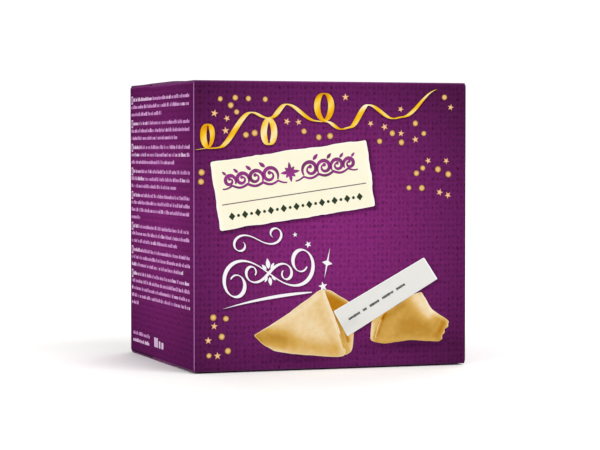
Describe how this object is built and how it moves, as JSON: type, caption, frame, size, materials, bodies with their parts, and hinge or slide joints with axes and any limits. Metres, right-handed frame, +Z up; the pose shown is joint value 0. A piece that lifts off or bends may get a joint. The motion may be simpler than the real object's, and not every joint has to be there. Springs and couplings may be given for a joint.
{
  "type": "fortune cookie carton",
  "caption": "Shut folding carton for wrapped biscuits: nearly a cube of printed board with glued end flaps.",
  "frame": {"origin": "middle of the footprint, on the surface that the carton stands on", "axes": "+Z up, the front panel faces -Y, the information panel faces -X"},
  "size_m": [0.1056, 0.0906, 0.1053],
  "materials": {
    "printed_board": "purple offset print with gold, cream and white artwork under a matt varnish on grey folding boxboard"
  },
  "bodies": {
    "root": {"carton": "printed_board"}
  },
  "joints": []
}
